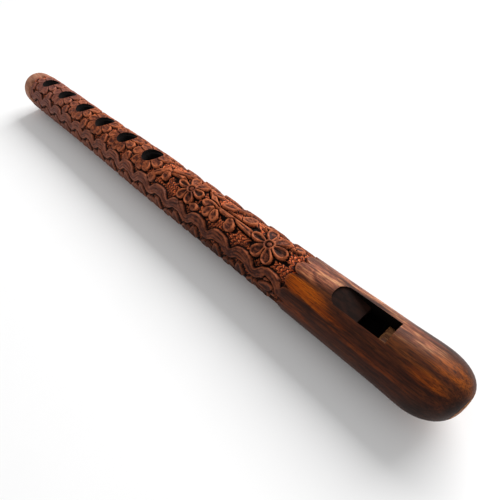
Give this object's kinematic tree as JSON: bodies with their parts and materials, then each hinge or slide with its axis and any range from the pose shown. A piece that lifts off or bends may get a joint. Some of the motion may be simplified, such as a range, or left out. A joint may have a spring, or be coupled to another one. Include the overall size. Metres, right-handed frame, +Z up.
{
  "type": "bansuri",
  "caption": "Carved wooden end-blown bansuri with a plain rounded fipple mouthpiece, a window with a ramped lip, a row of finger holes and floral relief down to a plain foot rim.",
  "frame": {"origin": "middle of the footprint of the flute lying down, on the surface it rests on", "axes": "+X along the bore from the mouth end to the foot, +Z up through the window"},
  "size_m": [0.323, 0.0244, 0.0246],
  "materials": {
    "rosewood": "satin polish on the plain head, matte oiled wood on the carving",
    "pale_wood": "bare sanded wood"
  },
  "bodies": {
    "root": {"flute_body": "rosewood", "fipple_block": "pale_wood"}
  },
  "joints": []
}
